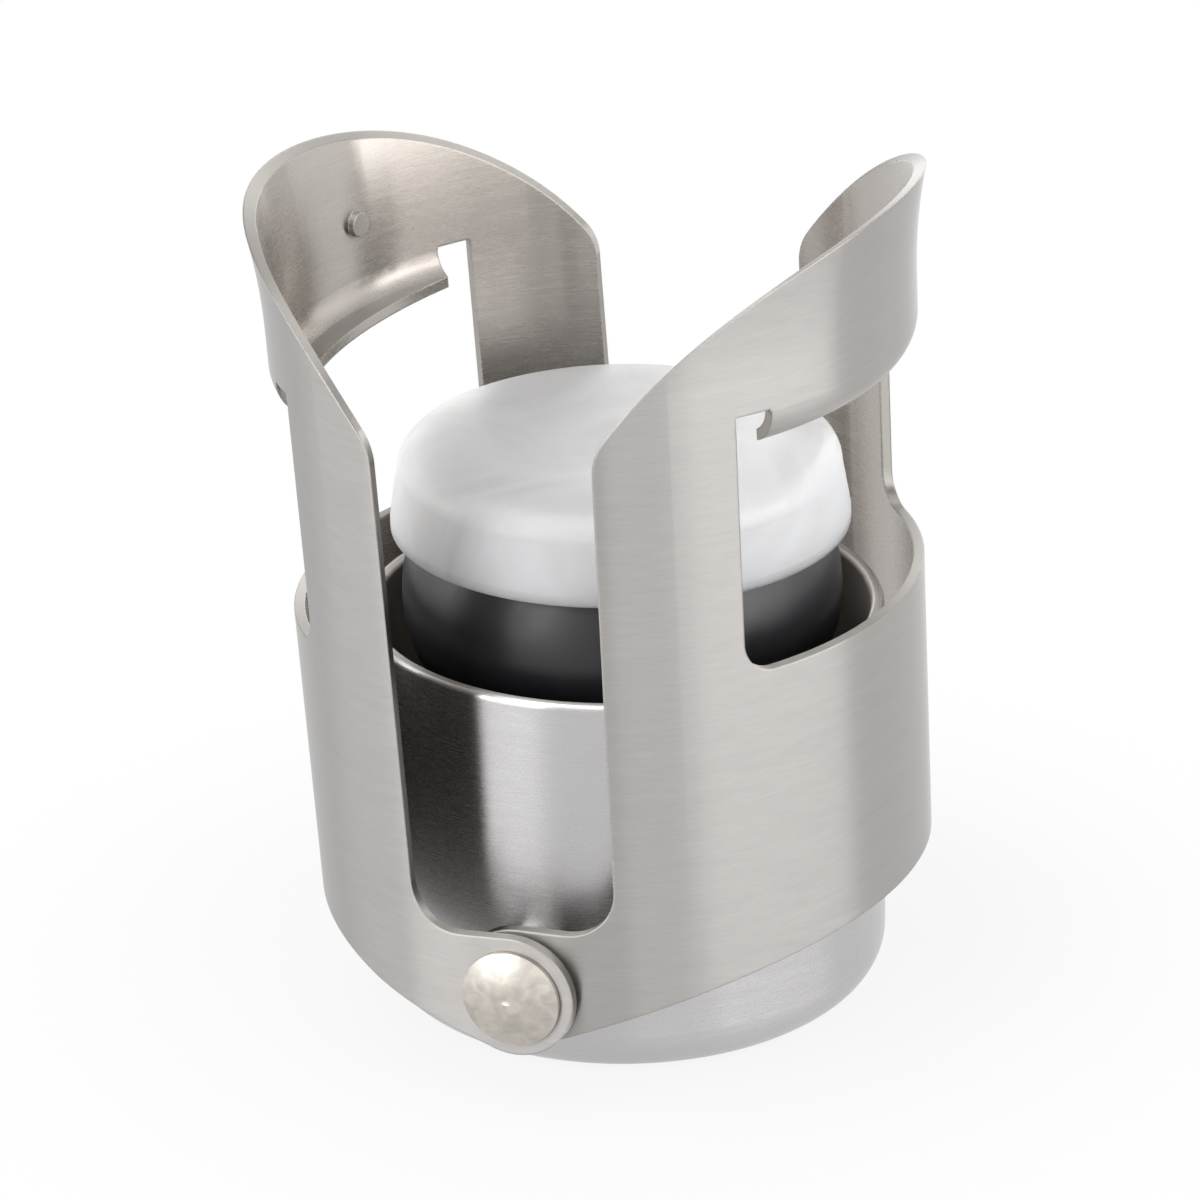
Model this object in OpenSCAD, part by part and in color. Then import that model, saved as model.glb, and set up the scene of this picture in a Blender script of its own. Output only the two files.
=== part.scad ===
// Sparkling-wine stopper, standing upside down on the closed end of its cap.
// Origin: centre of the cap's closed end. +Z runs up through the seal, the rivets lie along Y,
// and the wings open to -X and +X.

/* [Cap] */
// Outer radius of the drawn steel cap
cap_radius = 19.2; // [18.8:0.1:19.6]
// Height of the cap, from its closed end to its rim
cap_height = 29.8; // [27:0.1:31]
// Sheet thickness of the cap
cap_wall = 1.0; // [0.7:0.05:1.3]
// Outer radius where the wall turns into the closed end
cap_fillet = 3.5; // [2.5:0.1:5]

/* [Wings] */
// Sheet thickness of both wings
sheet = 0.8; // [0.6:0.05:1.1]
// Distance from the cap's wall to the outer face of the wing's flat
flat_gap = 4.3; // [4.2:0.05:4.8]
// Distance from the cap's wall to the outer face of the wing's side
side_gap = 3.15; // [3.05:0.05:3.6]
// Difference between the radius of the wing's side and that of its corners
arc_step = 10; // [9:0.5:11]
// Distance from the centre to the straight edge of an arm
arm_edge_x = 7.3; // [6.6:0.05:8]
// Height at which the rounding of an arm's top corner is centred
arm_round_z = 48.6; // [47.5:0.1:49.5]
// Radius of the sloping top edge, seen from the front
slope_radius = 36; // [34:0.5:40]
// Rounding of the corner between an arm's edge and the slope
arm_corner_radius = 4.0; // [2:0.1:5]
// Height at which the hood starts to bend outwards
flare_z = 54; // [53:0.1:56]
// Radius of that bend
flare_radius = 40; // [36:1:50]
// Height of the lower edge at the wing's side
skirt_side_z = 10.4; // [9.5:0.1:13]
// Radius of the rising lower edge, seen from the front
skirt_radius = 87; // [70:1:110]
// Rounding at the bottom of the slot between the arms
slot_corner_radius = 3.5; // [2:0.1:4]
// Lean of the left wing away from upright, as it stands
left_lean = 3.2; // [0:0.1:5]
// Lean of the right wing away from upright, as it stands
right_lean = -1.5; // [-2:0.1:5]

/* [Window and hook] */
// Height of the window's lower edge
window_low_z = 32.15; // [31:0.05:36]
// Distance from the wing's side back to the window's upright edges
window_depth = 6.55; // [6.2:0.05:7.3]
// Rounding of the window's lower corners
window_corner_radius = 2.4; // [1:0.1:3]
// Height at which the hook starts to bend inwards
hook_z = 51.2; // [49:0.1:52.5]
// Outer radius of the hook's bend
hook_bend_radius = 2.8; // [1.8:0.1:3]
// Reach of the hook inwards from the outer face, at its middle
hook_reach_middle = 3.1; // [2.9:0.1:4]
// Reach of the hook inwards from the outer face, at its ends
hook_reach_end = 1.95; // [1.8:0.05:2.4]
// Width of the relief notch at each end of the hook
notch_width = 2.8; // [1.5:0.1:3]
// Height of the relief notch above the start of the bend
notch_rise = 0.2; // [0.1:0.1:0.8]
// Height of the pressed dimple in the hood
dimple_z = 55.4; // [54:0.1:57]
// Place of the dimple round the hood, in degrees from its middle towards the back
dimple_angle = 18; // [10:0.5:30]
// Radius of the dimple
dimple_radius = 0.95; // [0.6:0.05:1.2]
// Height of the dimple inside the hood
dimple_height = 0.45; // [0.3:0.05:0.7]
// Wall left round the hollow behind the dimple
dimple_edge = 0.3; // [0.2:0.05:0.4]

/* [Rivets] */
// Height of the hinge line
hinge_z = 8.9; // [8.5:0.1:9.5]
// Radius of the round ear at the end of each arm
ear_radius = 4.6; // [4.2:0.1:5]
// Radius of the rivet's shank
shank_radius = 2.0; // [1.6:0.1:2.3]
// Running clearance between the shank and an ear's bore
pin_clearance = 0.05; // [0.03:0.01:0.1]
// Radius of the domed head
head_radius = 3.65; // [3.3:0.05:4]
// Height of the domed head
head_height = 1.3; // [1:0.1:1.8]
// Straight edge below the dome
head_edge = 0.35; // [0.2:0.05:0.5]
// Thickness of the washer between the two ears
ear_washer = 0.55; // [0.4:0.05:0.8]
// Radius of the washer between the two ears
ear_washer_radius = 3.4; // [3:0.1:4]
// Free play beside each ear
ear_play = 0.05; // [0.03:0.01:0.08]
// Radius of the spacer bush between the cap and the inner ear
bush_radius = 3.3; // [2.8:0.1:4]
// Thickness of the washer inside the cap
backing_washer = 0.6; // [0.4:0.05:0.8]
// Radius of the washer inside the cap
backing_radius = 3.4; // [3:0.1:3.8]
// Radius of the rivet's spread tail
tail_radius = 2.8; // [2.5:0.1:3.1]
// Length of the rivet's spread tail
tail_height = 0.8; // [0.5:0.1:1]

/* [Spring seat] */
// Clearance between the seat and the cap's wall
seat_clearance = 0.1; // [0.05:0.05:0.2]
// Thickness of the seat's wall
seat_wall = 1.6; // [1.2:0.1:2]
// Thickness of the seat's floor
seat_floor = 1.8; // [1.4:0.1:2.4]
// Height of the seat's wall above the cap's closed end
seat_height = 14.5; // [13.5:0.1:16]
// Distance from the cap's inner wall to the flat pads for the rivets
pad_depth = 2.6; // [2.3:0.1:3]
// Half width of the flat pads
pad_half = 4.2; // [4:0.1:5]
// Radius of the guide post
post_radius = 3.0; // [2.6:0.1:3.4]

/* [Piston] */
// Height of the shoulder that carries the seal's rim
shoulder_z = 36.3; // [35:0.1:37]
// Gap between the cap's inner wall and the piston's greatest radius
piston_gap = 2.05; // [1.7:0.05:2.4]
// Height of the piston's greatest radius
piston_belly_z = 30.9; // [30:0.1:32]
// Radius of the piston's bulged side, in section
piston_bulge = 11.0; // [9:0.1:13]
// Height of the piston's lower edge
piston_low_z = 22.5; // [21:0.1:24]
// Wall of the piston
piston_wall = 1.8; // [1.4:0.1:2.2]
// Distance from the piston's greatest radius back to the neck inside the seal
neck_depth = 2.15; // [1.8:0.05:2.7]
// Height of the neck above the shoulder
neck_height = 4.8; // [4.8:0.1:5.2]
// Height of the step on which the retaining washer sits
step_z = 33.3; // [32.5:0.1:33.5]
// Thickness of the web round the guide post
web = 2.3; // [1.8:0.1:3]
// Radius of the hub
hub_radius = 5.3; // [4.8:0.1:5.8]
// Length of the hub below the web
hub_length = 6.5; // [5:0.1:7]
// Radius of the well above the web
well_radius = 5.6; // [5.2:0.1:6.5]
// Running clearance between the guide post and the hub
guide_clearance = 0.08; // [0.04:0.01:0.1]

/* [Seal] */
// Overhang of the seal's rim beyond the piston's greatest radius
rim_overhang = 0.65; // [0.2:0.05:1]
// Height of the upright face of the rim
rim_height = 0.7; // [0.4:0.1:1]
// Distance from the rim back to the upper end of the seal's cone
cone_taper = 0.6; // [0.3:0.05:1]
// Height of the cone's end above the rim's lower face
cone_height = 4.2; // [3.9:0.1:4.7]
// Rounding between the cone and the crown
seal_round = 2.1; // [1.5:0.1:2.4]
// Radius of the crown's gently rounded zone
crown_radius = 13.7; // [11:0.1:16]

/* [Spring and screw] */
// Mean radius of the spring
coil_radius = 7.4; // [6.8:0.1:7.8]
// Thickness of the spring wire
wire = 1.3; // [1:0.1:1.6]
// Number of open turns
open_turns = 5; // [4:1:7]
// Radius of the retaining screw's shank
screw_radius = 1.1; // [0.9:0.05:1.4]
// Length of the screw in the guide post
screw_length = 9; // [6:0.5:12]
// Radius of the screw's head
screw_head_radius = 2.7; // [2.3:0.1:3]
// Height of the screw's head
screw_head_height = 1.4; // [1:0.1:1.4]
// Radius of the retaining washer
stop_washer_radius = 4.6; // [4.2:0.1:5]
// Thickness of the retaining washer
stop_washer = 0.8; // [0.6:0.05:1]

/* [Hidden] */
$fn = 96;

// Plan of a wing: a flat, a corner arc and a side arc. The arcs meet smoothly where their common
// radius rises 4 for every 3 across.
side_angle = atan2(4, 3);
wing_reach = cap_radius + side_gap;
wing_flat_y = cap_radius + flat_gap;
corner_y = arc_step * sin(side_angle);
corner_radius = wing_flat_y - corner_y;
side_radius = corner_radius + arc_step;
side_x = wing_reach - side_radius;
flat_half = side_x + arc_step * cos(side_angle);
window_angle = acos(1 - window_depth / side_radius);
hook_half_angle = window_angle - (notch_width + 0.15) / side_radius * 180 / PI;

// Half of the step between the outer and the inner ear, which shifts each wing along the rivets
ear_step = sheet + ear_washer + 2 * ear_play;
inner_ear_y = wing_flat_y - ear_step / 2;
outer_ear_y = wing_flat_y + ear_step / 2;
head_base_y = outer_ear_y + ear_play;

// The hood's outward bend reaches past its top edge, and ends on a radius that rises 7 for every 24
// across
flare_turn = atan2(7, 24);

// Front view of a wing. The slope meets the arm's rounded corner smoothly, on a radius that rises
// 3 for every 4 across.
slope_angle = atan2(3, -4);
arm_round_x = arm_edge_x + arm_corner_radius;
slope_step = slope_radius - arm_corner_radius;
slope_centre = [
    arm_round_x - slope_step * cos(slope_angle),
    arm_round_z - slope_step * sin(slope_angle)
];
skirt_centre = meet([0, hinge_z], skirt_radius + ear_radius, [wing_reach, skirt_side_z], skirt_radius);
skirt_join_x = ear_radius * skirt_centre[0] / (skirt_radius + ear_radius);
slot_z = hinge_z + ear_radius;

// The lower edge runs in short straight parts along its arc, and starts just inside the ear
skirt_parts = 18;
skirt_lift = 0.03;
function skirt_z(x) =
    skirt_centre[1] + skirt_lift + sqrt(pow(skirt_radius, 2) - pow(x - skirt_centre[0], 2));

// Hook: bend and straight flank, which drops 7 for every 24 inwards, and the arc that trims the
// free edge
hook_bend_angle = atan2(24, 7);
hook_flank = (hook_reach_middle - hook_bend_radius * (1 - cos(hook_bend_angle))) / sin(hook_bend_angle);
hook_drop = hook_bend_radius * sin(hook_bend_angle) + hook_flank * cos(hook_bend_angle);
hook_middle_x = wing_reach - hook_reach_middle;
hook_end_x = side_x + (side_radius - hook_reach_end) * cos(hook_half_angle);
hook_end_y = (side_radius - hook_reach_end) * sin(hook_half_angle);
hook_trim_radius = (pow(hook_middle_x - hook_end_x, 2) + pow(hook_end_y, 2))
    / (2 * (hook_middle_x - hook_end_x));

// Radii of the seat's pads, the piston and the seal
pad_y = cap_radius - cap_wall - pad_depth;
piston_radius = cap_radius - cap_wall - piston_gap;
neck_radius = piston_radius - neck_depth;
seal_radius = piston_radius + rim_overhang;
cone_radius = seal_radius - cone_taper;

// Seal: the crown and the rounded edge meet smoothly on a radius that rises 117 for every 44 across
crown_turn = atan2(117, 44);
seal_edge_x = cone_radius - seal_round;
seal_edge_z = shoulder_z + cone_height;
crown_x = seal_edge_x - (crown_radius - seal_round) * cos(crown_turn);
crown_z = seal_edge_z - (crown_radius - seal_round) * sin(crown_turn) + crown_radius;

// Piston, post and spring heights
floor_z = cap_wall + seat_floor;
web_low_z = step_z - web;
coil_low_z = floor_z + wire / 2;
coil_high_z = web_low_z - wire / 2;
piston_centre_x = piston_radius - piston_bulge;
neck_z = shoulder_z + neck_height;

// Space that cutters take beyond the solid they cut
over = 1;
big = 80;

// Lower right point where two circles in the plane cross
function meet(p, rp, q, rq) =
    let (
        d = norm(q - p),
        a = (rp * rp - rq * rq + d * d) / (2 * d),
        h = sqrt(rp * rp - a * a),
        along = (q - p) / d
    )
    p + a * along + h * [along[1], -along[0]];

// Triangle with its point at the origin that opens between two angles
module wedge(from, to, reach) {
    polygon([
        [0, 0],
        reach * [cos(from), sin(from)],
        reach * [cos(to), sin(to)]
    ]);
}

// Disc cut down to the part between two angles
module sector(radius, from, to) {
    intersection() {
        circle(r = radius);
        wedge(from, to, 2 * radius);
    }
}

// Half section of a drawn cup that is filled
module cup_section(radius, height, fillet) {
    square([radius - fillet, height]);
    translate([0, fillet]) square([radius, height - fillet]);
    translate([radius - fillet, fillet]) circle(r = fillet);
}

// Turns a solid of revolution so that it points along +Y from the hinge line
module along_y(from) {
    translate([0, from, hinge_z]) rotate([-90, 0, 0]) children();
}

module ring_washer(from, thickness, radius, hole) {
    along_y(from) difference() {
        cylinder(r = radius, h = thickness);
        translate([0, 0, -over]) cylinder(r = hole, h = thickness + 2 * over);
    }
}

module at_back() {
    children();
}

module at_front() {
    rotate([0, 0, 180]) children();
}

module cap_shell() {
    color([0.74, 0.73, 0.71]) difference() {
        rotate_extrude() difference() {
            union() {
                cup_section(cap_radius, cap_height - cap_wall / 2, cap_fillet);
                translate([cap_radius - cap_wall / 2, cap_height - cap_wall / 2])
                    circle(r = cap_wall / 2);
            }
            translate([0, cap_wall])
                cup_section(cap_radius - cap_wall, cap_height, cap_fillet - cap_wall);
            translate([-big, -over]) square([big, 2 * big]);
        }
        translate([0, -big / 2, hinge_z]) rotate([-90, 0, 0]) cylinder(r = shank_radius, h = big);
    }
}

// Section of a wing's curved wall: upright, then bent outwards
module wall_section(radius) {
    translate([radius - sheet, 0]) square([sheet, flare_z]);
    translate([radius + flare_radius, flare_z]) difference() {
        sector(flare_radius + sheet, 180 - flare_turn, 180);
        circle(r = flare_radius);
    }
}

// Curved wall between two angles. Its closing line lies outside the part that is kept.
module wall_arc(x, y, radius, from, to) {
    translate([x, y, 0]) intersection() {
        rotate([0, 0, 180]) rotate_extrude() wall_section(radius);
        linear_extrude(height = big) wedge(from, to, 2 * radius);
    }
}

// Wall of a wing before its outline is cut
module wall() {
    wall_arc(side_x, 0, side_radius, -side_angle, side_angle);
    wall_arc(flat_half, corner_y, corner_radius, side_angle, 90);
    wall_arc(flat_half, -corner_y, corner_radius, -90, -side_angle);
    for (y = [-wing_flat_y, wing_flat_y - sheet]) translate([-ear_radius - over, y, 0])
        cube([ear_radius + over + flat_half, sheet, flare_z]);
}

// Outline of a wing from the front, with X to the right and Z up
module wing_front() {
    translate([0, hinge_z]) circle(r = ear_radius);
    translate([0, hinge_z]) square([skirt_join_x + over, ear_radius]);
    difference() {
        polygon(concat(
            [[wing_reach + 2 * over, big], [skirt_join_x, big]],
            [for (i = [0 : skirt_parts])
                let (x = skirt_join_x + (wing_reach + 2 * over - skirt_join_x) * i / skirt_parts)
                [x, skirt_z(x)]]
        ));
        slot_cut();
        slope_cut();
    }
}

module slot_cut() {
    translate([-big, slot_z]) square([big + arm_edge_x - slot_corner_radius, big]);
    translate([-big, slot_z + slot_corner_radius]) square([big + arm_edge_x, big]);
    translate([arm_edge_x - slot_corner_radius, slot_z + slot_corner_radius])
        circle(r = slot_corner_radius);
}

module slope_cut() {
    difference() {
        translate([-over, arm_round_z]) square([wing_reach + 4 * over, big]);
        translate(slope_centre) circle(r = slope_radius);
    }
    translate([arm_round_x, arm_round_z]) difference() {
        wedge(slope_angle, 180, 3 * arm_corner_radius);
        circle(r = arm_corner_radius);
    }
}

// Opening in the wing's side, with edges that point at the centre of the side arc
module window_cut() {
    translate([side_x, 0, 0]) {
        window_side();
        mirror([0, 1, 0]) window_side();
    }
}

// One side of the opening with its rounded lower corner and the notch beside the hook. Both sides
// reach across the middle.
module window_side() {
    width = 0.75 * side_radius;
    start = side_radius / 2;
    low = window_low_z;
    round = window_corner_radius;
    rotate([0, 0, window_angle]) translate([start, 0, 0]) rotate([90, 0, 90])
        linear_extrude(height = start + over) {
            translate([-notch_width, hook_z - over]) square([notch_width, over + notch_rise]);
            difference() {
                translate([-width, low]) square([width, hook_z - low]);
                difference() {
                    translate([-round, low - over]) square([round + over, round + over]);
                    translate([-round, low + round]) circle(r = round);
                }
            }
        }
}

module hook() {
    difference() {
        translate([side_x, 0, 0]) intersection() {
            rotate([0, 0, 180]) rotate_extrude() hook_section();
            linear_extrude(height = big) wedge(-hook_half_angle, hook_half_angle, 2 * side_radius);
        }
        translate([hook_middle_x - hook_trim_radius, 0, hook_z - hook_drop - over])
            cylinder(r = hook_trim_radius, h = hook_drop + over + notch_rise / 2);
    }
}

// Section of the hook: a stub inside the hood's wall, a bend of the sheet and a straight flank
module hook_section() {
    inner = hook_bend_radius - sheet;
    translate([side_radius - 0.9 * sheet, hook_z]) square([0.8 * sheet, over]);
    translate([side_radius - hook_bend_radius, hook_z]) {
        difference() {
            sector(hook_bend_radius, -hook_bend_angle, 0);
            circle(r = inner);
        }
        rotate([0, 0, -hook_bend_angle]) translate([inner, -hook_flank - over])
            square([sheet, hook_flank + over]);
    }
}

// Small round dimple pressed inwards
module dimple_at(turn) {
    translate([side_x, 0, dimple_z]) rotate([0, 0, turn]) rotate([0, 90, 0]) children();
}

module wing(dimple_turn) {
    difference() {
        union() {
            intersection() {
                wall();
                translate([0, wing_flat_y + over, 0]) rotate([90, 0, 0])
                    linear_extrude(height = 2 * (wing_flat_y + over)) wing_front();
            }
            dimple_at(dimple_turn) translate([0, 0, side_radius - sheet - dimple_height])
                cylinder(r = dimple_radius, h = dimple_height + sheet / 2);
        }
        window_cut();
        dimple_at(dimple_turn) translate([0, 0, side_radius - sheet / 2])
            cylinder(r = dimple_radius - dimple_edge, h = sheet / 2 + over);
        translate([0, -big / 2, hinge_z]) rotate([-90, 0, 0])
            cylinder(r = shank_radius + pin_clearance, h = big);
    }
    hook();
}

module lean(angle) {
    translate([0, ear_step / 2, hinge_z]) rotate([0, angle, 0]) translate([0, 0, -hinge_z]) children();
}

module wing_right() {
    color([0.72, 0.71, 0.69]) lean(right_lean) wing(dimple_angle);
}

module wing_left() {
    color([0.70, 0.69, 0.67]) rotate([0, 0, 180]) lean(left_lean) wing(-dimple_angle);
}

// Rivet along +Y: tail inside the cap, shank, and domed head outside
module rivet() {
    tail_y = pad_y - backing_washer - tail_height;
    shank_length = head_base_y - tail_y;
    dome = head_height - head_edge;
    dome_radius = (head_radius * head_radius + dome * dome) / (2 * dome);
    color([0.80, 0.77, 0.70]) along_y(tail_y) {
        cylinder(r = tail_radius, h = tail_height);
        cylinder(r = shank_radius, h = shank_length);
        translate([0, 0, shank_length]) rotate_extrude() {
            square([head_radius, head_edge]);
            intersection() {
                translate([0, head_height - dome_radius]) circle(r = dome_radius, $fn = 180);
                translate([0, head_edge]) square([head_radius, head_height]);
            }
        }
    }
}

module spacer_bush() {
    color([0.66, 0.65, 0.63]) difference() {
        ring_washer(cap_radius - over, inner_ear_y - sheet - ear_play - cap_radius + over, bush_radius, shank_radius);
        cylinder(r = cap_radius, h = cap_height);
    }
}

module ear_washer() {
    color([0.62, 0.61, 0.60])
        ring_washer(inner_ear_y + ear_play, ear_washer, ear_washer_radius, shank_radius);
}

module backing_ring() {
    color([0.62, 0.61, 0.60])
        ring_washer(pad_y - backing_washer, backing_washer, backing_radius, shank_radius);
}

// Black moulding inside the cap: floor, wall with two flat pads, and guide post
module spring_seat() {
    radius = cap_radius - cap_wall - seat_clearance;
    fillet = cap_fillet - cap_wall;
    color([0.10, 0.10, 0.11]) difference() {
        union() {
            rotate_extrude() difference() {
                translate([0, cap_wall]) cup_section(radius, seat_height - cap_wall, fillet);
                translate([post_radius, floor_z]) square([radius - seat_wall - post_radius, big]);
                translate([-big, -over]) square([big, 2 * big]);
            }
            cylinder(r = post_radius, h = step_z);
            intersection() {
                cylinder(r = radius - seat_wall / 2, h = seat_height);
                for (side = [-1, 1]) translate([-pad_half, side > 0 ? pad_y : -radius, floor_z - over])
                    cube([2 * pad_half, radius - pad_y, seat_height - floor_z + over]);
            }
        }
        translate([0, -big / 2, hinge_z]) rotate([-90, 0, 0]) {
            cylinder(r = shank_radius, h = big / 2 - pad_y + over);
            translate([0, 0, big / 2 + pad_y - over]) cylinder(r = shank_radius, h = big / 2);
        }
        translate([0, 0, step_z - screw_length]) cylinder(r = screw_radius, h = screw_length + over);
        translate([0, 0, -over]) cylinder(r = cap_radius, h = cap_wall + over);
    }
}

// Radius of the piston's bulged side at a height, drawn in by inset
function belly(z, inset) = piston_centre_x + sqrt(pow(piston_bulge - inset, 2) - pow(z - piston_belly_z, 2));

module belly_section(inset, low, high) {
    intersection() {
        union() {
            translate([piston_centre_x, piston_belly_z]) circle(r = piston_bulge - inset);
            translate([0, low]) square([piston_centre_x, high - low]);
        }
        translate([0, low]) square([piston_radius + over, high - low]);
    }
}

module piston() {
    color([0.09, 0.09, 0.10]) rotate_extrude() {
        difference() {
            belly_section(0, piston_low_z, shoulder_z);
            belly_section(piston_wall, piston_low_z - over, web_low_z);
            translate([0, step_z]) square([neck_radius - piston_wall, big]);
            translate([0, piston_low_z - over]) square([post_radius + guide_clearance, big]);
        }
        translate([neck_radius - piston_wall, step_z]) square([piston_wall, neck_z - step_z]);
        translate([well_radius, step_z]) square([piston_wall, shoulder_z - step_z]);
        translate([post_radius + guide_clearance, web_low_z - hub_length])
            square([hub_radius - post_radius - guide_clearance, hub_length + web]);
    }
}

// Seal with a rim, a conical side, a rounded edge and a crown that is flat in the middle
module seal() {
    color([0.93, 0.93, 0.92]) rotate_extrude() difference() {
        union() {
            polygon([
                [0, shoulder_z],
                [seal_radius, shoulder_z],
                [seal_radius, shoulder_z + rim_height],
                [cone_radius, seal_edge_z],
                [seal_edge_x, seal_edge_z],
                [seal_edge_x + seal_round * cos(crown_turn), seal_edge_z + seal_round * sin(crown_turn)],
                [crown_x, seal_edge_z],
                [crown_x, crown_z],
                [0, crown_z]
            ]);
            translate([seal_edge_x, seal_edge_z]) sector(seal_round, 0, crown_turn);
            difference() {
                translate([crown_x, crown_z - crown_radius]) sector(crown_radius, crown_turn, 90);
                square([seal_radius, seal_edge_z]);
            }
        }
        translate([0, shoulder_z - over]) square([neck_radius, neck_height + over]);
    }
}

// Compression spring: closed end turns and open turns between them
coil_sides = 8;
coil_steps = 28;
coil_turns = open_turns + 2;
coil_open = coil_high_z - coil_low_z - 2 * wire;

function coil_z(t) =
    coil_low_z + (
        t < 1 ? wire * t
        : t > 1 + open_turns ? wire + coil_open + wire * (t - 1 - open_turns)
        : wire + coil_open * (t - 1) / open_turns
    );

module spring() {
    rings = coil_turns * coil_steps;
    points = [
        for (i = [0 : rings]) for (k = [0 : coil_sides - 1])
            let (
                turn = 360 * i / coil_steps,
                side = 360 * k / coil_sides,
                r = coil_radius + wire / 2 * cos(side)
            )
            [r * cos(turn), r * sin(turn), coil_z(i / coil_steps) + wire / 2 * sin(side)]
    ];
    walls = [
        for (i = [0 : rings - 1]) for (k = [0 : coil_sides - 1])
            let (next = (k + 1) % coil_sides)
            [
                i * coil_sides + k, i * coil_sides + next,
                (i + 1) * coil_sides + next, (i + 1) * coil_sides + k
            ]
    ];
    start = [for (k = [coil_sides - 1 : -1 : 0]) k];
    end = [for (k = [0 : coil_sides - 1]) rings * coil_sides + k];
    color([0.60, 0.60, 0.60]) polyhedron(points, concat([start], walls, [end]), convexity = 10);
}

module retaining_screw() {
    head_z = step_z + stop_washer;
    color([0.60, 0.60, 0.60]) {
        translate([0, 0, step_z - screw_length]) cylinder(r = screw_radius, h = screw_length + stop_washer);
        translate([0, 0, head_z]) difference() {
            cylinder(r = screw_head_radius, h = screw_head_height);
            for (turn = [0, 90]) rotate([0, 0, turn])
                translate([-0.35, -1.5, screw_head_height - 0.9]) cube([0.7, 3, over]);
        }
    }
}

module retaining_washer() {
    color([0.66, 0.65, 0.63]) translate([0, 0, step_z]) difference() {
        cylinder(r = stop_washer_radius, h = stop_washer);
        translate([0, 0, -over]) cylinder(r = screw_radius, h = stop_washer + 2 * over);
    }
}

cap_shell();
wing_left();
wing_right();
at_front() rivet();  // rivet_front
at_back() rivet();  // rivet_back
at_front() spacer_bush();  // spacer_bush_front
at_back() spacer_bush();  // spacer_bush_back
at_front() ear_washer();  // ear_washer_front
at_back() ear_washer();  // ear_washer_back
at_front() backing_ring();  // backing_washer_front
at_back() backing_ring();  // backing_washer_back
spring_seat();
spring();
piston();
seal();
retaining_screw();
retaining_washer();
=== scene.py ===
"""Looks of a sparkling-wine stopper: brushed steel cap and wings, rivets, black piston, white seal."""

import math

import bpy
from mathutils import Matrix, Vector

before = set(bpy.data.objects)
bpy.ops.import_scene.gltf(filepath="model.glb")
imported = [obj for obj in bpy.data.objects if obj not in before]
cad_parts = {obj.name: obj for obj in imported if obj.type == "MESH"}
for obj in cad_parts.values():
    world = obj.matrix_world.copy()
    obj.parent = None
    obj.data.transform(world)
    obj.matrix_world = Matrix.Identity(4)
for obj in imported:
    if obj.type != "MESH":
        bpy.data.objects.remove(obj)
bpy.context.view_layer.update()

bl_info = {
    "name": "Sparkling-wine stopper looks",
    "version": (1, 0, 0),
    "blender": (4, 5, 0),
    "location": "3D View > Sidebar > Stopper",
    "description": "Finishes the stopper's steel, plastic and seal, and sets it in a plain studio",
    "category": "Object",
}

MM = 0.001

# Roughness of the outer and the inner side of the sheets, and of their cut edges
CAP_ROUGHNESS = (0.27, 0.34)
WING_ROUGHNESS = (0.335, 0.27)
CUT_ROUGHNESS = 0.48

# Brushed grain: contrast of the lines, how fine they are along each axis, and how one-sided the gloss is
CAP_GRAIN = (0.14, (420.0, 420.0, 8000.0), 0.92)
WING_GRAIN = (0.30, (480.0, 480.0, 7500.0), 0.97)
GRAIN_ROUGHNESS_SPREAD = 0.10
GRAIN_HEIGHT = 0.02 * MM
# A quarter turn, which stretches the gloss across the grain
GLOSS_TURN = 0.25

# Mottle over a surface: how fine it is, and its lowest and highest value
RIVET_GLOSS = (520.0, 0.32, 0.55)
RIVET_TONE = (800.0, 0.80, 1.06)
PISTON_GLOSS = (260.0, 0.34, 0.44)
SEAL_GLOSS = (90.0, 0.32, 0.50)
SEAL_CLOUDS = (80.0, 0.0, 1.0)

# How far red, green and blue light travel in the seal, as shares of its depth setting
SEAL_GLOW_REACH = (1.0, 0.97, 0.92)
HARDWARE_ROUGHNESS = 0.32

WHITE = (1.0, 1.0, 1.0, 1.0)
BLACK = (0.0, 0.0, 0.0, 1.0)

# Colour sockets of a Mix node, by number because they share their names with its other sockets
MIX_FIRST = 6
MIX_SECOND = 7
MIX_RESULT = 2

# A face counts as the sheet's cut edge when the cosine between its normal and the radius is below this
CUT_FACING = 0.45

# Camera: the photograph's viewing angle, measured on the cap, the wings and the seal
CAMERA_AZIMUTH = 20.86
CAMERA_ELEVATION = 23.5
CAMERA_ROLL = -1.46
CAMERA_TARGET = Vector((0.0, 0.0, 28.0)) * MM
CAMERA_DISTANCE = 392.2 * MM
CAMERA_SIDE = -1.706 * MM
CAMERA_RISE = 1.476 * MM
CAMERA_LENS = 160.0
SENSOR = 36.0

# Ring of upright light panels: name, first and last azimuth in degrees, and the brightness setting
RING = (
    ("Left panel", -95.0, -55.0, "left_level"),
    ("Front left panel", -55.0, -14.0, "front_left_level"),
    ("Front right panel", 20.0, 54.0, "front_right_level"),
    ("Right panel", 54.0, 114.0, "right_level"),
    ("Back right panel", 114.0, 150.0, "back_right_level"),
    ("Back left panel", 165.0, 220.0, "back_left_level"),
)
# The ring's distance, the height of its middle and the height of each panel, in metres
RING_DISTANCE = 0.6
RING_MIDDLE = 0.22
RING_HEIGHT = 0.42
TOP_PANEL_PLACE = (-0.15, -0.25, 0.9)
TOP_PANEL_SIZE = (0.9, 0.7)
# The point that every panel faces
LIT_POINT = Vector((0.0, 0.0, 30.0)) * MM

# Floor: its width and finish, how white it looks beside the object, and the reach of the soft shadow
FLOOR_WIDTH = 6.0
FLOOR_ROUGHNESS = 0.8
FLOOR_WHITENESS = 0.86
SHADOW_START = 20.0 * MM
SHADOW_END = 60.0 * MM


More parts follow.
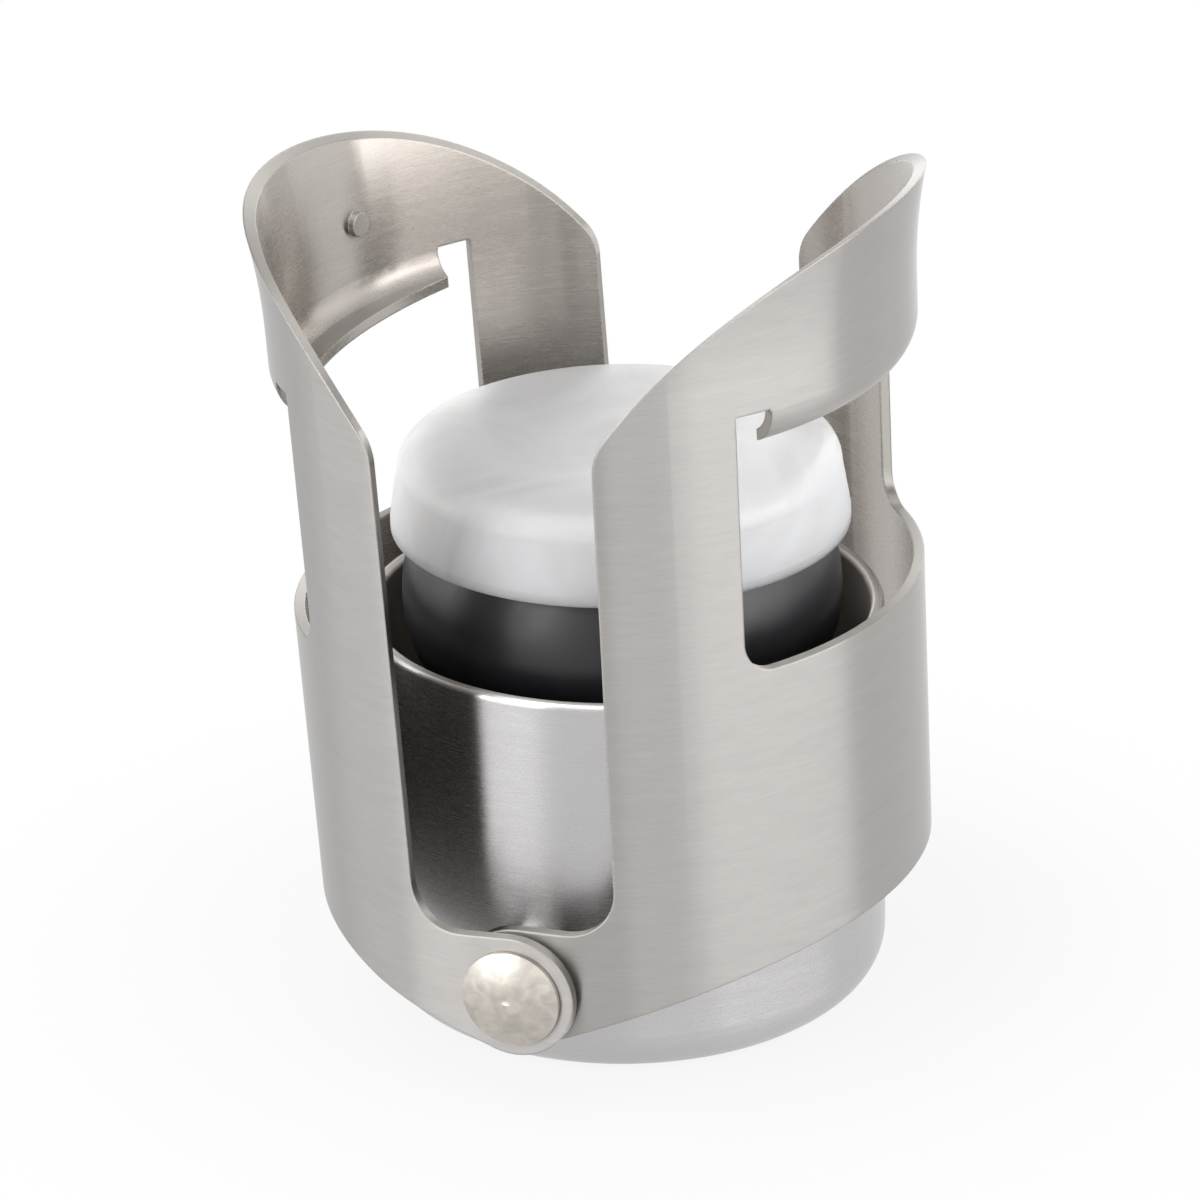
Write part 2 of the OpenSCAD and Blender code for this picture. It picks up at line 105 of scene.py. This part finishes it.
class StopperSteel(bpy.types.PropertyGroup):
    """Colours and finish of the metal parts"""

    wing_colour: bpy.props.FloatVectorProperty(
        name="Wings",
        description="Colour of the brushed wings",
        subtype="COLOR",
        size=3,
        min=0.0,
        max=1.0,
        default=(0.376, 0.362, 0.350),
    )
    cut_colour: bpy.props.FloatVectorProperty(
        name="Cut edges",
        description="Colour of the sheared edges of the sheet metal",
        subtype="COLOR",
        size=3,
        min=0.0,
        max=1.0,
        default=(0.33, 0.315, 0.295),
    )
    # Painted light and shade: the inner sides are the same steel as the outer sides, given their own
    # colour for how lit they look
    inner_painted_light_colour: bpy.props.FloatVectorProperty(
        name="Inner sides",
        description="Colour of the inner sides of the wings and the cap",
        subtype="COLOR",
        size=3,
        min=0.0,
        max=1.0,
        default=(0.425, 0.395, 0.366),
    )
    cap_colour: bpy.props.FloatVectorProperty(
        name="Cap",
        description="Colour of the brushed cap",
        subtype="COLOR",
        size=3,
        min=0.0,
        max=1.0,
        default=(0.495, 0.485, 0.49),
    )
    rivet_colour: bpy.props.FloatVectorProperty(
        name="Rivets",
        description="Colour of the rivets' polished heads",
        subtype="COLOR",
        size=3,
        min=0.0,
        max=1.0,
        default=(0.52, 0.485, 0.44),
    )
    hardware_colour: bpy.props.FloatVectorProperty(
        name="Bushes and washers",
        description="Colour of the turned bushes, washers, screw and spring",
        subtype="COLOR",
        size=3,
        min=0.0,
        max=1.0,
        default=(0.42, 0.41, 0.395),
    )
    edge_round: bpy.props.FloatProperty(
        name="Edge rounding",
        description="Radius of the soft edge that the sheet metal seems to have",
        unit="LENGTH",
        min=0.0,
        max=0.001,
        default=0.00022,
    )
    grain_depth: bpy.props.FloatProperty(
        name="Grain depth",
        description="How deep the brushed lines look",
        min=0.0,
        max=1.0,
        default=0.11,
    )


class StopperMouldings(bpy.types.PropertyGroup):
    """Colours of the piston and the seal"""

    piston_colour: bpy.props.FloatVectorProperty(
        name="Piston",
        description="Colour of the black piston and the seat in the cap",
        subtype="COLOR",
        size=3,
        min=0.0,
        max=1.0,
        default=(0.012, 0.012, 0.0145),
    )
    seal_colour: bpy.props.FloatVectorProperty(
        name="Seal",
        description="Colour of the white seal",
        subtype="COLOR",
        size=3,
        min=0.0,
        max=1.0,
        default=(0.86, 0.865, 0.90),
    )
    seal_cloud_colour: bpy.props.FloatVectorProperty(
        name="Seal clouds",
        description="Colour of the duller clouds in the seal's rubber",
        subtype="COLOR",
        size=3,
        min=0.0,
        max=1.0,
        default=(0.69, 0.678, 0.66),
    )
    seal_glow_depth: bpy.props.FloatProperty(
        name="Seal depth",
        description="How far light travels inside the seal",
        unit="LENGTH",
        min=0.0,
        max=0.01,
        default=0.009,
    )


class StopperStudio(bpy.types.PropertyGroup):
    """Light and floor"""

    floor_colour: bpy.props.FloatVectorProperty(
        name="Floor",
        description="Colour of the plain floor",
        subtype="COLOR",
        size=3,
        min=0.0,
        max=1.0,
        default=(0.66, 0.66, 0.66),
    )
    top_level: bpy.props.FloatProperty(
        name="Top panel",
        description="Brightness of the soft panel above the object",
        min=0.0,
        max=10.0,
        default=2.5,
    )
    left_level: bpy.props.FloatProperty(
        name="Left panel",
        description="Brightness of the panel on the left",
        min=0.0,
        max=10.0,
        default=1.9,
    )
    front_left_level: bpy.props.FloatProperty(
        name="Front left panel",
        description="Brightness of the bright panel at the front left",
        min=0.0,
        max=10.0,
        default=3.85,
    )
    front_right_level: bpy.props.FloatProperty(
        name="Front right panel",
        description="Brightness of the panel at the front right",
        min=0.0,
        max=10.0,
        default=1.15,
    )
    right_level: bpy.props.FloatProperty(
        name="Right panel",
        description="Brightness of the wide bright panel on the right",
        min=0.0,
        max=10.0,
        default=3.5,
    )
    back_right_level: bpy.props.FloatProperty(
        name="Back right panel",
        description="Brightness of the panel behind the object on the right",
        min=0.0,
        max=10.0,
        default=0.45,
    )
    back_left_level: bpy.props.FloatProperty(
        name="Back left panel",
        description="Brightness of the panel behind the object on the left",
        min=0.0,
        max=10.0,
        default=1.65,
    )


class Wiring:
    """Short calls for building a node tree"""

    def __init__(self, tree):
        self.tree = tree

    def node(self, kind, **settings):
        made = self.tree.nodes.new(kind)
        for key, value in settings.items():
            setattr(made, key, value)
        return made

    def link(self, source, target):
        self.tree.links.new(source, target)

    def math(self, operation, a, b=None, clamp=False):
        made = self.node("ShaderNodeMath", operation=operation, use_clamp=clamp)
        for socket, value in zip(made.inputs, (a, b)):
            if value is None:
                continue
            if isinstance(value, (int, float)):
                socket.default_value = value
            else:
                self.link(value, socket)
        return made.outputs[0]


def new_group(name, inputs, outputs):
    """A shader node group with named sockets, its wiring, and the nodes at its two ends."""
    group = bpy.data.node_groups.new(name, "ShaderNodeTree")
    for label, kind, value in inputs:
        socket = group.interface.new_socket(name=label, in_out="INPUT", socket_type=kind)
        socket.default_value = value
    for label, kind in outputs:
        group.interface.new_socket(name=label, in_out="OUTPUT", socket_type=kind)
    wiring = Wiring(group)
    return group, wiring, wiring.node("NodeGroupInput"), wiring.node("NodeGroupOutput")


def brushed_grain_group():
    """Lines of a brushed surface: streaks that are long across the object and fine along one axis."""
    name = "Brushed grain"
    if name in bpy.data.node_groups:
        return bpy.data.node_groups[name]
    group, w, entry, exit_ = new_group(
        name,
        [
            ("Colour", "NodeSocketColor", (0.6, 0.6, 0.6, 1.0)),
            ("Contrast", "NodeSocketFloat", 0.12),
            ("Roughness", "NodeSocketFloat", 0.3),
            ("Roughness spread", "NodeSocketFloat", 0.08),
            ("Stretch", "NodeSocketVector", (500.0, 500.0, 7000.0)),
        ],
        [
            ("Colour", "NodeSocketColor"),
            ("Roughness", "NodeSocketFloat"),
            ("Height", "NodeSocketFloat"),
        ],
    )
    place = w.node("ShaderNodeTexCoord")
    stretch = w.node("ShaderNodeVectorMath", operation="MULTIPLY")
    w.link(place.outputs["Object"], stretch.inputs[0])
    w.link(entry.outputs["Stretch"], stretch.inputs[1])
    fine = w.node("ShaderNodeTexNoise")
    fine.inputs["Scale"].default_value = 1.0
    fine.inputs["Detail"].default_value = 3.0
    fine.inputs["Roughness"].default_value = 0.65
    w.link(stretch.outputs[0], fine.inputs["Vector"])
    broad = w.node("ShaderNodeTexNoise")
    broad.inputs["Scale"].default_value = 0.22
    broad.inputs["Detail"].default_value = 2.0
    w.link(stretch.outputs[0], broad.inputs["Vector"])
    fine_share = w.math("MULTIPLY", fine.outputs[0], 0.7)
    broad_share = w.math("MULTIPLY", broad.outputs[0], 0.3)
    streaks = w.math("ADD", fine_share, broad_share)
    centred = w.math("SUBTRACT", streaks, 0.5)
    shade = w.math("ADD", 1.0, w.math("MULTIPLY", centred, entry.outputs["Contrast"]))
    tint = w.node("ShaderNodeVectorMath", operation="SCALE")
    w.link(entry.outputs["Colour"], tint.inputs[0])
    w.link(shade, tint.inputs["Scale"])
    w.link(tint.outputs[0], exit_.inputs["Colour"])
    spread = w.math("MULTIPLY", centred, entry.outputs["Roughness spread"])
    w.link(w.math("ADD", entry.outputs["Roughness"], spread, clamp=True), exit_.inputs["Roughness"])
    w.link(streaks, exit_.inputs["Height"])
    return group


def soft_mottle_group():
    """Slow cloudy change of a value over the surface."""
    name = "Soft mottle"
    if name in bpy.data.node_groups:
        return bpy.data.node_groups[name]
    group, w, entry, exit_ = new_group(
        name,
        [
            ("Scale", "NodeSocketFloat", 120.0),
            ("Low", "NodeSocketFloat", 0.4),
            ("High", "NodeSocketFloat", 0.6),
        ],
        [("Value", "NodeSocketFloat")],
    )
    place = w.node("ShaderNodeTexCoord")
    cloud = w.node("ShaderNodeTexNoise")
    cloud.inputs["Detail"].default_value = 3.0
    cloud.inputs["Distortion"].default_value = 1.1
    w.link(place.outputs["Object"], cloud.inputs["Vector"])
    w.link(entry.outputs["Scale"], cloud.inputs["Scale"])
    span = w.node("ShaderNodeMapRange")
    span.inputs["From Min"].default_value = 0.3
    span.inputs["From Max"].default_value = 0.7
    w.link(cloud.outputs[0], span.inputs["Value"])
    w.link(entry.outputs["Low"], span.inputs["To Min"])
    w.link(entry.outputs["High"], span.inputs["To Max"])
    w.link(span.outputs["Result"], exit_.inputs["Value"])
    return group


def sheet_sides_group():
    """Tells the outer side, the inner side and the cut edge of a sheet round the upright axis apart."""
    name = "Sheet sides"
    if name in bpy.data.node_groups:
        return bpy.data.node_groups[name]
    sides = ("Outer", "Inner", "Edge")
    sockets = [(f"{side} colour", "NodeSocketColor", (0.6, 0.6, 0.6, 1.0)) for side in sides]
    sockets += [(f"{side} roughness", "NodeSocketFloat", 0.35) for side in sides]
    group, w, entry, exit_ = new_group(
        name,
        sockets,
        [
            ("Colour", "NodeSocketColor"),
            ("Roughness", "NodeSocketFloat"),
        ],
    )
    place = w.node("ShaderNodeTexCoord")
    outward = w.node("ShaderNodeVectorMath", operation="MULTIPLY")
    outward.inputs[1].default_value = (1.0, 1.0, 0.0)
    w.link(place.outputs["Object"], outward.inputs[0])
    radial = w.node("ShaderNodeVectorMath", operation="NORMALIZE")
    w.link(outward.outputs[0], radial.inputs[0])
    facing = w.node("ShaderNodeVectorMath", operation="DOT_PRODUCT")
    w.link(radial.outputs[0], facing.inputs[0])
    w.link(place.outputs["Normal"], facing.inputs[1])
    inner = w.math("LESS_THAN", facing.outputs["Value"], -CUT_FACING)
    edge = w.math("LESS_THAN", w.math("ABSOLUTE", facing.outputs["Value"]), CUT_FACING)
    colour = entry.outputs["Outer colour"]
    gloss = entry.outputs["Outer roughness"]
    # The inner side's colour is painted light and shade on the same steel; its roughness is the sheet's
    # own
    for side, share in (("Inner", inner), ("Edge", edge)):
        tone = w.node("ShaderNodeMix", data_type="RGBA")
        w.link(share, tone.inputs["Factor"])
        w.link(colour, tone.inputs[MIX_FIRST])
        w.link(entry.outputs[f"{side} colour"], tone.inputs[MIX_SECOND])
        colour = tone.outputs[MIX_RESULT]
        polish = w.node("ShaderNodeMapRange")
        w.link(share, polish.inputs["Value"])
        w.link(gloss, polish.inputs["To Min"])
        w.link(entry.outputs[f"{side} roughness"], polish.inputs["To Max"])
        gloss = polish.outputs["Result"]
    w.link(colour, exit_.inputs["Colour"])
    w.link(gloss, exit_.inputs["Roughness"])
    return group


def new_material(name):
    """An empty material with its output and its Principled shader."""
    material = bpy.data.materials.new(name)
    material.use_nodes = True
    material.node_tree.nodes.clear()
    w = Wiring(material.node_tree)
    shader = w.node("ShaderNodeBsdfPrincipled")
    output = w.node("ShaderNodeOutputMaterial")
    w.link(shader.outputs[0], output.inputs["Surface"])
    return material, w, shader


def put_on(node, material):
    """Gives a CAD node its finish."""
    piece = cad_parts[node]
    piece.data.materials.clear()
    piece.data.materials.append(material)


def mottle(w, scale, low, high):
    """A value that wanders slowly between low and high over the surface."""
    cloud = w.node("ShaderNodeGroup", node_tree=soft_mottle_group())
    cloud.inputs["Scale"].default_value = scale
    cloud.inputs["Low"].default_value = low
    cloud.inputs["High"].default_value = high
    return cloud.outputs["Value"]


def brushed_steel(name, outer_colour, roughness, grain_look, steel):
    """Brushed sheet: streaks in colour, gloss and height, with a soft sheared edge.

    The outer and the inner side each have a colour and a roughness, and the cut edge is duller. The
    inner side's colour is painted light and shade on the same steel.
    """
    outer_roughness, inner_roughness = roughness
    contrast, stretch, anisotropy = grain_look
    material, w, shader = new_material(name)
    sides = w.node("ShaderNodeGroup", node_tree=sheet_sides_group())
    finishes = (
        ("Outer", outer_colour, outer_roughness),
        ("Inner", steel.inner_painted_light_colour, inner_roughness),
        ("Edge", steel.cut_colour, CUT_ROUGHNESS),
    )
    for side, tone, rough in finishes:
        sides.inputs[f"{side} colour"].default_value = (*tone, 1.0)
        sides.inputs[f"{side} roughness"].default_value = rough
    grain = w.node("ShaderNodeGroup", node_tree=brushed_grain_group())
    w.link(sides.outputs["Colour"], grain.inputs["Colour"])
    w.link(sides.outputs["Roughness"], grain.inputs["Roughness"])
    grain.inputs["Contrast"].default_value = contrast
    grain.inputs["Roughness spread"].default_value = GRAIN_ROUGHNESS_SPREAD
    grain.inputs["Stretch"].default_value = stretch
    w.link(grain.outputs["Colour"], shader.inputs["Base Color"])
    w.link(grain.outputs["Roughness"], shader.inputs["Roughness"])
    shader.inputs["Metallic"].default_value = 1.0
    shader.inputs["Anisotropic"].default_value = anisotropy
    shader.inputs["Anisotropic Rotation"].default_value = GLOSS_TURN
    tangent = w.node("ShaderNodeTangent", direction_type="RADIAL", axis="Z")
    w.link(tangent.outputs[0], shader.inputs["Tangent"])
    edge = w.node("ShaderNodeBevel", samples=4)
    edge.inputs["Radius"].default_value = steel.edge_round
    bump = w.node("ShaderNodeBump")
    bump.inputs["Strength"].default_value = steel.grain_depth
    bump.inputs["Distance"].default_value = GRAIN_HEIGHT
    w.link(edge.outputs[0], bump.inputs["Normal"])
    w.link(grain.outputs["Height"], bump.inputs["Height"])
    w.link(bump.outputs[0], shader.inputs["Normal"])
    return material


class FinishCap(bpy.types.Operator):
    """Finishes the drawn cap in steel brushed round its axis"""

    bl_idname = "stopper.finish_cap"
    bl_label = "Finish cap"

    def execute(self, context):
        steel = context.scene.stopper_steel
        material = brushed_steel(
            "Cap brushed steel", steel.cap_colour, CAP_ROUGHNESS, CAP_GRAIN, steel
        )
        put_on("cap_shell", material)
        return {"FINISHED"}


class FinishWings(bpy.types.Operator):
    """Finishes both wings in steel brushed along the band"""

    bl_idname = "stopper.finish_wings"
    bl_label = "Finish wings"

    def execute(self, context):
        steel = context.scene.stopper_steel
        material = brushed_steel(
            "Wing brushed steel", steel.wing_colour, WING_ROUGHNESS, WING_GRAIN, steel
        )
        for node in ("wing_left", "wing_right"):
            put_on(node, material)
        return {"FINISHED"}


class FinishRivets(bpy.types.Operator):
    """Finishes the rivets in polished nickel tone with light wear"""

    bl_idname = "stopper.finish_rivets"
    bl_label = "Finish rivets"

    def execute(self, context):
        steel = context.scene.stopper_steel
        material, w, shader = new_material("Rivet polished steel")
        shader.inputs["Metallic"].default_value = 1.0
        w.link(mottle(w, *RIVET_GLOSS), shader.inputs["Roughness"])
        tone = w.node("ShaderNodeVectorMath", operation="SCALE")
        tone.inputs[0].default_value = steel.rivet_colour
        w.link(mottle(w, *RIVET_TONE), tone.inputs["Scale"])
        w.link(tone.outputs[0], shader.inputs["Base Color"])
        for node in ("rivet_front", "rivet_back"):
            put_on(node, material)
        return {"FINISHED"}


class FinishHardware(bpy.types.Operator):
    """Finishes the bushes, washers, screw and spring"""

    bl_idname = "stopper.finish_hardware"
    bl_label = "Finish bushes, washers and spring"

    def execute(self, context):
        steel = context.scene.stopper_steel
        material, _, shader = new_material("Turned steel")
        shader.inputs["Base Color"].default_value = (*steel.hardware_colour, 1.0)
        shader.inputs["Metallic"].default_value = 1.0
        shader.inputs["Roughness"].default_value = HARDWARE_ROUGHNESS
        for node in (
            "spacer_bush_front",
            "spacer_bush_back",
            "ear_washer_front",
            "ear_washer_back",
            "backing_washer_front",
            "backing_washer_back",
            "retaining_washer",
            "retaining_screw",
            "spring",
        ):
            put_on(node, material)
        return {"FINISHED"}


class FinishPiston(bpy.types.Operator):
    """Finishes the piston and the seat in satin black plastic"""

    bl_idname = "stopper.finish_piston"
    bl_label = "Finish piston"

    def execute(self, context):
        mouldings = context.scene.stopper_mouldings
        material, w, shader = new_material("Black moulding")
        shader.inputs["Base Color"].default_value = (*mouldings.piston_colour, 1.0)
        w.link(mottle(w, *PISTON_GLOSS), shader.inputs["Roughness"])
        for node in ("piston", "spring_seat"):
            put_on(node, material)
        return {"FINISHED"}


class FinishSeal(bpy.types.Operator):
    """Finishes the seal in white, slightly translucent rubber"""

    bl_idname = "stopper.finish_seal"
    bl_label = "Finish seal"

    def execute(self, context):
        mouldings = context.scene.stopper_mouldings
        material, w, shader = new_material("White seal")
        milk = w.node("ShaderNodeMix", data_type="RGBA")
        w.link(mottle(w, *SEAL_CLOUDS), milk.inputs["Factor"])
        milk.inputs[MIX_FIRST].default_value = (*mouldings.seal_colour, 1.0)
        milk.inputs[MIX_SECOND].default_value = (*mouldings.seal_cloud_colour, 1.0)
        w.link(milk.outputs[MIX_RESULT], shader.inputs["Base Color"])
        shader.inputs["Subsurface Weight"].default_value = 1.0
        shader.inputs["Subsurface Radius"].default_value = SEAL_GLOW_REACH
        shader.inputs["Subsurface Scale"].default_value = mouldings.seal_glow_depth
        w.link(mottle(w, *SEAL_GLOSS), shader.inputs["Roughness"])
        put_on("seal", material)
        return {"FINISHED"}


def around(azimuth, distance, height):
    """The point at an azimuth round the object, from the front towards the right."""
    turn = math.radians(azimuth)
    return Vector((math.sin(turn) * distance, -math.cos(turn) * distance, height))


def light_panel(name, location, size, level):
    """A soft panel that faces the object, with a brightness that doesn't depend on its size."""
    width, height = size
    data = bpy.data.lights.new(name, "AREA")
    data.shape = "RECTANGLE"
    data.size, data.size_y = size
    data.energy = level * width * height * math.pi
    light = bpy.data.objects.new(name, data)
    light.location = location
    light.rotation_euler = (LIT_POINT - Vector(location)).to_track_quat("-Z", "Y").to_euler()
    bpy.context.scene.collection.objects.link(light)


def seen_directly(w):
    """1 for what the camera sees, straight or in a reflection or through something clear."""
    path = w.node("ShaderNodeLightPath")
    mirrored = w.math("MAXIMUM", path.outputs["Is Glossy Ray"], path.outputs["Is Transmission Ray"])
    return w.math("MAXIMUM", path.outputs["Is Camera Ray"], mirrored)


def floor_material(colour):
    """Plain pale floor that looks white round the object and keeps its shadow."""
    material, w, shader = new_material("Studio floor")
    shader.inputs["Base Color"].default_value = (*colour, 1.0)
    shader.inputs["Roughness"].default_value = FLOOR_ROUGHNESS
    white = w.node("ShaderNodeEmission")
    white.inputs["Color"].default_value = WHITE
    place = w.node("ShaderNodeTexCoord")
    reach = w.node("ShaderNodeVectorMath", operation="LENGTH")
    w.link(place.outputs["Object"], reach.inputs[0])
    away = w.node("ShaderNodeMapRange", interpolation_type="SMOOTHSTEP")
    away.inputs["From Min"].default_value = SHADOW_START
    away.inputs["From Max"].default_value = SHADOW_END
    away.inputs["To Min"].default_value = FLOOR_WHITENESS
    w.link(reach.outputs["Value"], away.inputs["Value"])
    mix = w.node("ShaderNodeMixShader")
    w.link(w.math("MULTIPLY", seen_directly(w), away.outputs["Result"]), mix.inputs[0])
    w.link(shader.outputs[0], mix.inputs[1])
    w.link(white.outputs[0], mix.inputs[2])
    output = next(n for n in material.node_tree.nodes if n.type == "OUTPUT_MATERIAL")
    w.link(mix.outputs[0], output.inputs["Surface"])
    return material


def studio_world():
    """Dark room that looks white, also in reflections, so that the panels alone light the object."""
    world = bpy.data.worlds.new("Studio room")
    world.use_nodes = True
    world.node_tree.nodes.clear()
    w = Wiring(world.node_tree)
    room = w.node("ShaderNodeBackground")
    room.inputs["Color"].default_value = BLACK
    white = w.node("ShaderNodeBackground")
    white.inputs["Color"].default_value = WHITE
    mix = w.node("ShaderNodeMixShader")
    output = w.node("ShaderNodeOutputWorld")
    w.link(seen_directly(w), mix.inputs[0])
    w.link(room.outputs[0], mix.inputs[1])
    w.link(white.outputs[0], mix.inputs[2])
    w.link(mix.outputs[0], output.inputs["Surface"])
    bpy.context.scene.world = world


def photo_camera():
    """Camera at the photograph's viewing angle."""
    azimuth, elevation, roll = (
        math.radians(v) for v in (CAMERA_AZIMUTH, CAMERA_ELEVATION, CAMERA_ROLL)
    )
    back = Vector(
        (
            math.sin(azimuth) * math.cos(elevation),
            -math.cos(azimuth) * math.cos(elevation),
            math.sin(elevation),
        )
    )
    level = Vector((math.cos(azimuth), math.sin(azimuth), 0.0))
    up = back.cross(level)
    right = level * math.cos(roll) + up * math.sin(roll)
    above = up * math.cos(roll) - level * math.sin(roll)
    data = bpy.data.cameras.new("Photo camera")
    data.sensor_fit = "HORIZONTAL"
    data.sensor_width = SENSOR
    data.lens = CAMERA_LENS
    data.clip_start = 0.01
    data.clip_end = 20.0
    camera = bpy.data.objects.new("Photo camera", data)
    place = CAMERA_TARGET + right * CAMERA_SIDE + above * CAMERA_RISE + back * CAMERA_DISTANCE
    turn = Matrix((right, above, back)).transposed().to_4x4()
    camera.matrix_world = Matrix.Translation(place) @ turn
    bpy.context.scene.collection.objects.link(camera)
    bpy.context.scene.camera = camera


class BuildStudio(bpy.types.Operator):
    """Builds the floor, the soft lights and the camera"""

    bl_idname = "stopper.build_studio"
    bl_label = "Build studio"

    def execute(self, context):
        studio = context.scene.stopper_studio
        bpy.ops.mesh.primitive_plane_add(size=FLOOR_WIDTH, location=(0.0, 0.0, 0.0))
        floor = context.active_object
        floor.name = "studio_floor"
        floor.data.materials.append(floor_material(studio.floor_colour))
        studio_world()
        light_panel("Top panel", TOP_PANEL_PLACE, TOP_PANEL_SIZE, studio.top_level)
        for name, start, end, setting in RING:
            width = 2.0 * RING_DISTANCE * math.tan(math.radians(end - start) / 2.0)
            place = around((start + end) / 2.0, RING_DISTANCE, RING_MIDDLE)
            light_panel(name, place, (width, RING_HEIGHT), getattr(studio, setting))
        photo_camera()
        context.scene.view_settings.view_transform = "Standard"
        return {"FINISHED"}


class StopperPanel(bpy.types.Panel):
    """Lists the stopper's finishes and its studio"""

    bl_idname = "VIEW3D_PT_stopper"
    bl_label = "Stopper"
    bl_space_type = "VIEW_3D"
    bl_region_type = "UI"
    bl_category = "Stopper"

    def draw(self, context):
        layout = self.layout
        for group, label in SETTINGS:
            box = layout.box()
            box.label(text=label)
            settings = getattr(context.scene, group)
            for key in settings.__annotations__:
                box.prop(settings, key)
        for step in STEPS:
            layout.operator(step.bl_idname)


SETTINGS = (
    ("stopper_steel", "Steel"),
    ("stopper_mouldings", "Mouldings"),
    ("stopper_studio", "Studio"),
)
GROUPS = (StopperSteel, StopperMouldings, StopperStudio)
STEPS = (
    FinishCap,
    FinishWings,
    FinishRivets,
    FinishHardware,
    FinishPiston,
    FinishSeal,
    BuildStudio,
)
CLASSES = (*GROUPS, *STEPS, StopperPanel)


def register():
    for cls in CLASSES:
        bpy.utils.register_class(cls)
    for (name, _), group in zip(SETTINGS, GROUPS):
        setattr(bpy.types.Scene, name, bpy.props.PointerProperty(type=group))


def unregister():
    for name, _ in SETTINGS:
        delattr(bpy.types.Scene, name)
    for cls in reversed(CLASSES):
        bpy.utils.unregister_class(cls)


def main():
    register()
    for step in STEPS:
        area, name = step.bl_idname.split(".")
        getattr(getattr(bpy.ops, area), name)()


if __name__ == "__main__":
    main()
